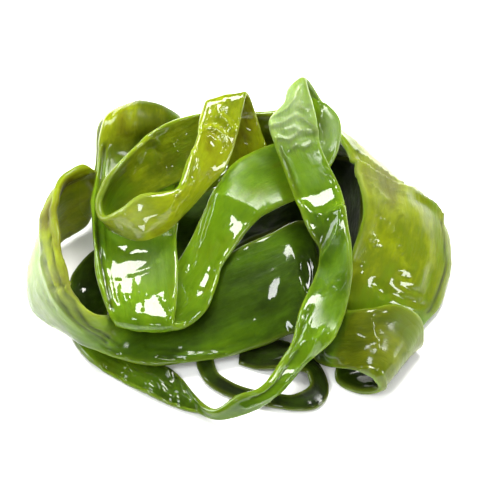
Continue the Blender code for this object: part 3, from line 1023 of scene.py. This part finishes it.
                # Painted glare from the patch.
                pale = np.maximum(pale, patch.pale * bell)
            first += len(stretch.stations)
        return lift, ripe, dry, dark, pale

    def shape(self) -> tuple[np.ndarray, dict[str, np.ndarray]]:
        """Place every point of the fine strap.

        Returns:
            Points in millimetres by ring and section point, and the values for
            the material's attributes, shaped alike.
        """
        stations = self.route()
        knots = self.knots(stations)
        count = int(round(knots[-1] / self.spacing)) + 1
        where = np.linspace(0.0, knots[-1], count)
        rings = self.smooth(knots, stations, where)
        left, right, bow = rings[:, 0:3], rings[:, 3:6], rings[:, 6]
        centre, half = (left + right) / 2, (right - left) / 2
        breadth = np.linalg.norm(half, axis=1)
        across = half / breadth[:, None]
        along = np.gradient(centre, axis=0)
        along /= np.linalg.norm(along, axis=1)[:, None]
        normal = np.cross(across, along)
        normal /= np.linalg.norm(normal, axis=1)[:, None]
        traits = self.traits(where, knots)

        section = self.section()
        share, outward, side = section.T[:, None, :]
        tip = np.clip((where[-1] - where) / self.tip_length, 0.0, 1.0)
        thick = (self.thickness_tip + (self.thickness_wide - self.thickness_tip) * tip)[:, None] / 2
        length = where[:, None] + 0 * share
        waves = LatticeNoise(17, 13.0, 10.0).sample(length, np.sign(share) * 30)
        flat = (breadth[:, None] - thick) * (1 + self.scallop * waves)
        width = share * flat + outward * thick
        place = width / breadth[:, None]
        plump = 1 + self.plump * LatticeNoise(18, 10.0, 7.0).sample(length, width)
        lift = bow[:, None] * (1 - np.clip(place, -1, 1) ** 2) + side * thick * plump
        lift += self.relief(length, width, place, traits["crumple"][:, None])
        half_widths = np.linalg.norm(stations[:, 3:6] - stations[:, 0:3], axis=1) / 2
        raised, riper, dry, dark, pale = self.details(knots, half_widths, length, width)
        lift += raised
        points = centre[:, None] + across[:, None] * width[..., None]
        points += normal[:, None] * lift[..., None]
        points[..., 2] = np.maximum(points[..., 2], 0.0)

        blend = (side + 1) / 2
        ripeness = traits["front"][:, None] * blend + traits["back"][:, None] * (1 - blend) + riper
        # The rim share sets the painted glow along the thin rim.
        rim = np.clip(1 - (breadth[:, None] - np.abs(width)) / (thick * 1.6), 0.0, 1.0)
        # The dark and pale values carry painted shade and painted glare to the material.
        return points, {
            "along_mm": length, "across_mm": width, "face_mm": side * thick,
            "ripeness": ripeness, "rim": rim, "dry": dry, "dark": dark, "pale": pale,
        }

    @staticmethod
    def skin(ring_count: int, point_count: int, face_points: int) -> list[tuple[int, ...]]:
        """List the faces that join the rings, and close the two cut ends.

        Args:
            ring_count: How many rings there are.
            point_count: How many points each ring has.
            face_points: How many of them lie on each flat face.

        Returns:
            The faces as tuples of point numbers.
        """
        ring, point = np.indices((ring_count - 1, point_count))
        near, far = ring * point_count, (ring + 1) * point_count
        following = (point + 1) % point_count
        quads = np.stack([near + point, near + following, far + following, far + point], axis=-1)
        faces = [tuple(quad) for quad in quads.reshape(-1, 4).tolist()]
        last = (ring_count - 1) * point_count
        loop = list(range(point_count))
        shift = (point_count - 2 * face_points) // 4 + 1
        order = loop[-shift:] + loop[:-shift]
        half = point_count // 2
        for start, turn in ((0, True), (last, False)):
            for step in range(half - 1):
                corners = [order[step], order[step + 1], order[-step - 2], order[-step - 1]]
                kept = [start + corner for corner in dict.fromkeys(corners)]
                faces.append(tuple(reversed(kept)) if turn else tuple(kept))
        return faces

    def build(self, material: bpy.types.Material) -> bpy.types.Object:
        """Make the stem's mesh, dress it and tie it to the frame.

        Args:
            material: The skin.

        Returns:
            The stem.
        """
        points, values = self.shape()
        points -= SHIFT
        mesh = bpy.data.meshes.new("wakame_stem_skin")
        ring_count, point_count = points.shape[:2]
        faces = self.skin(ring_count, point_count, self.face_points)
        mesh.from_pydata((points * MM).reshape(-1, 3).tolist(), [], faces)
        for name, value in values.items():
            layer = mesh.attributes.new(name, "FLOAT", "POINT")
            spread = np.broadcast_to(value, (ring_count, point_count)).astype(np.float32)
            layer.data.foreach_set("value", spread.ravel())
        mesh.validate()
        mesh.shade_smooth()
        mesh.materials.append(material)
        stem = bpy.data.objects.new("wakame_stem_visible", mesh)
        bpy.context.scene.collection.objects.link(stem)
        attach(stem, "root")
        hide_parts("wakame_stem")
        low, high = points.min(axis=(0, 1)).round(1), points.max(axis=(0, 1)).round(1)
        LOG.info("stem: %d rings of %d points, %s to %s mm", ring_count, point_count, low, high)
        return stem


@dataclass
class Studio:
    """A pale floor, soft lights and the camera.

    Attributes:
        elevation: Height angle of the view, in degrees.
        lens: Focal length in millimetres.
        field: Width of what the picture shows at the heap, in metres.
        target: The point in the picture's middle, in metres.
        floor_reach: How far the floor goes to each side, in metres.
    """

    elevation: float = 47.4
    lens: float = 400.0
    field: float = 0.2
    target: tuple[float, float, float] = (0.0044, 0.0229, 0.0027)
    floor_reach: float = 3.0

    def floor(self) -> bpy.types.Object:
        """Lay the plain pale floor, a hair below the stem's flat spots.

        Returns:
            The floor.
        """
        mesh = bpy.data.meshes.new("floor")
        reach = self.floor_reach
        corners = [(-reach, -reach, 0), (reach, -reach, 0), (reach, reach, 0), (-reach, reach, 0)]
        mesh.from_pydata(corners, [], [(0, 1, 2, 3)])
        material = bpy.data.materials.new("matte_white_board")
        material.use_nodes = True
        board = material.node_tree.nodes["Principled BSDF"]
        board.inputs["Base Color"].default_value = linear("#F4F4F2")
        board.inputs["Roughness"].default_value = 0.7
        mesh.materials.append(material)
        floor = bpy.data.objects.new("floor", mesh)
        floor.location.z = -0.0002
        bpy.context.scene.collection.objects.link(floor)
        return floor

    def light(self, name: str, power: float, size: float, place: tuple[float, float, float],
              colour: str = "#FFFFFF", glints: bool = True, fills: bool = True) -> None:
        """Hang one soft light that faces the heap.

        Args:
            name: The light's name.
            power: Power in watts.
            size: Side of the square light, in metres.
            place: Where it hangs, in metres.
            colour: Its colour as sRGB hex.
            glints: Whether the wet skin mirrors it.
            fills: Whether it lights the flesh as well.
        """
        lamp = bpy.data.lights.new(name, "AREA")
        lamp.energy = power
        lamp.size = size
        lamp.color = linear(colour)[:3]
        holder = bpy.data.objects.new(name, lamp)
        holder.location = place
        facing = Vector((0, 0, 0.03)) - Vector(place)
        holder.rotation_euler = facing.to_track_quat("-Z", "Y").to_euler()
        holder.visible_glossy = glints
        holder.visible_diffuse = fills
        holder.visible_transmission = fills
        holder.visible_volume_scatter = fills
        bpy.context.scene.collection.objects.link(holder)

    def surround(self) -> None:
        """Give the room its even white light."""
        world = bpy.data.worlds.new("white_room")
        bpy.context.scene.world = world
        world.use_nodes = True
        back = world.node_tree.nodes["Background"]
        back.inputs["Color"].default_value = linear("#FFFFFF")
        back.inputs["Strength"].default_value = 0.32
        world.cycles_visibility.glossy = False

    def camera(self) -> None:
        """Set up the camera at the photograph's height angle."""
        tilt = math.radians(self.elevation)
        away = Vector((0, -math.cos(tilt), math.sin(tilt)))
        data = bpy.data.cameras.new("camera")
        data.lens = self.lens
        data.sensor_width = 36.0
        camera = bpy.data.objects.new("camera", data)
        camera.location = Vector(self.target) + away * (self.field * self.lens / data.sensor_width)
        camera.rotation_euler = (math.pi / 2 - tilt, 0, 0)
        data.clip_start = 0.01
        bpy.context.scene.collection.objects.link(camera)
        bpy.context.scene.camera = camera

    def build(self) -> None:
        """Set up everything that isn't the stem."""
        self.floor()
        self.light("top_softbox", 18.0, 0.44, (0.14, 0.32, 1.0), "#FFFDF8")
        self.light("front_softbox", 4.0, 0.25, (-0.35, -0.55, 0.85), "#F6FAFF")
        self.light("right_softbox", 1.4, 0.13, (0.62, 0.1, 0.75), fills=False)
        self.light("overhead_panel", 1.7, 0.15, (0.44, -0.25, 0.87), fills=False)
        self.light("side_softbox", 4.0, 0.26, (0.88, -0.2, 0.28))
        self.light("left_window", 9.0, 0.5, (-0.85, 0.32, 0.5), "#F8FBFF", fills=False)
        self.light("front_strip", 1.2, 0.16, (0.05, -0.92, 0.3), fills=False)
        self.light("wide_fill", 17.0, 1.4, (0.0, -1.0, 1.1), glints=False)
        self.light("floor_wash", 9.0, 0.3, (-0.45, 0.45, 0.45), glints=False)
        self.surround()
        self.camera()
        bpy.context.scene.view_settings.view_transform = "Standard"
        LOG.info("studio: camera at %.1f degrees, %.0f mm lens", self.elevation, self.lens)


def main() -> None:
    """Build the stem and the studio, and note the sizes."""
    logging.basicConfig(level=logging.INFO)
    WakameStem(STRETCHES).build(CookedKelpSkin().make())
    Studio().build()


if __name__ == "__main__":
    main()
